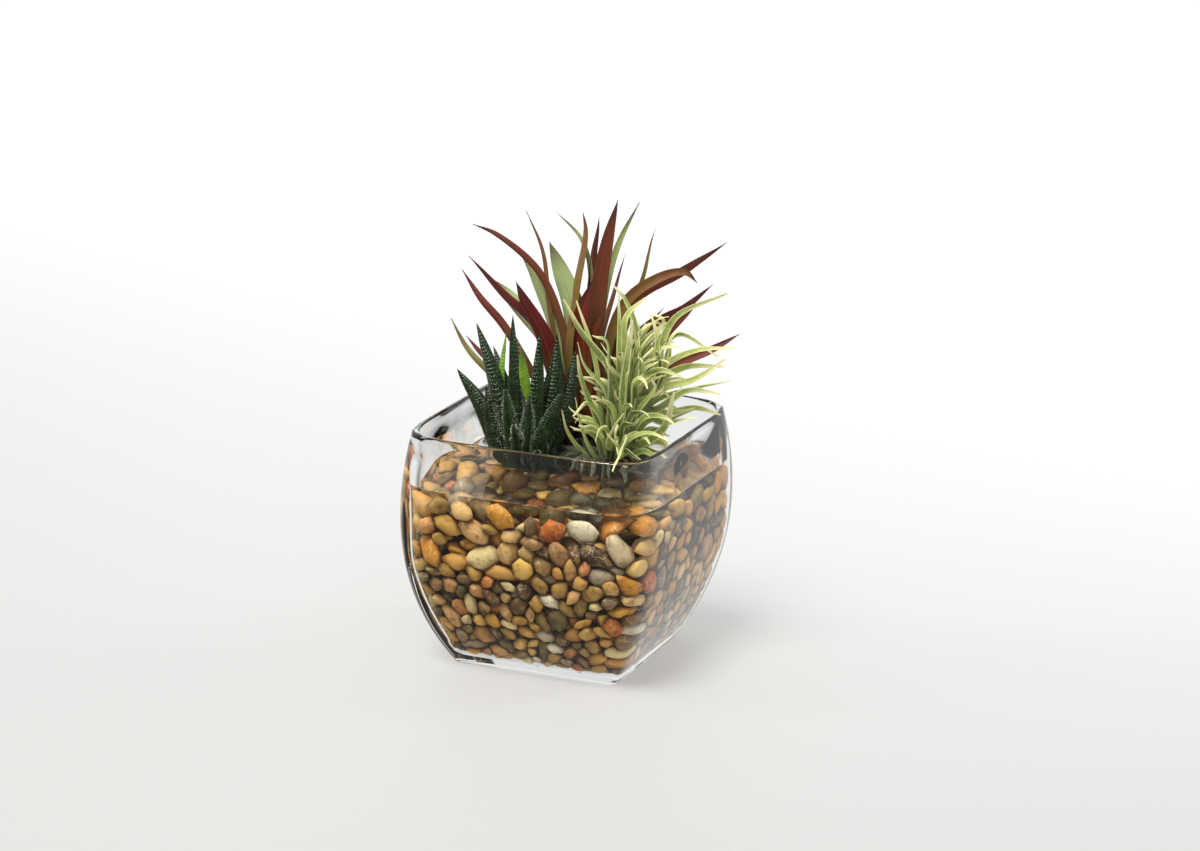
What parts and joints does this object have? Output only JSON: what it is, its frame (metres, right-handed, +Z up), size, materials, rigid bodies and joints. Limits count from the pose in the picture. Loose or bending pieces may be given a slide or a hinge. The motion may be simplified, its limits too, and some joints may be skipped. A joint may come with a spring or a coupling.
{
  "type": "glass plant terrarium",
  "caption": "Square clear glass vase with barrel sides and a thick base, filled with river pebbles and water, holding a dark banded rosette, a grassy tuft and a red-leaved plant.",
  "frame": {"origin": "centre of the vase's flat underside", "axes": "+Z up, -Y out of the vase's front face, +X out of its right face"},
  "size_m": [0.1623, 0.1674, 0.2471],
  "materials": {
    "glass": "clear polished pressed glass with a fire-polished rim",
    "water": "clear still water",
    "pebble": "smooth wet river pebbles, tan, ochre, cream, rust and dark grey",
    "rosette_leaf": "dark green succulent leaf with raised white bands",
    "grass_leaf": "mealy light yellow-green narrow leaf",
    "red_leaf": "satin leaf, burgundy on one side and green on the other"
  },
  "bodies": {
    "root": {"vase_glass": "glass", "water": "water", "pebble_bed": "pebble", "rosette_plant": "rosette_leaf", "grassy_plant": "grass_leaf", "red_leaf_plant": "red_leaf"}
  },
  "joints": []
}
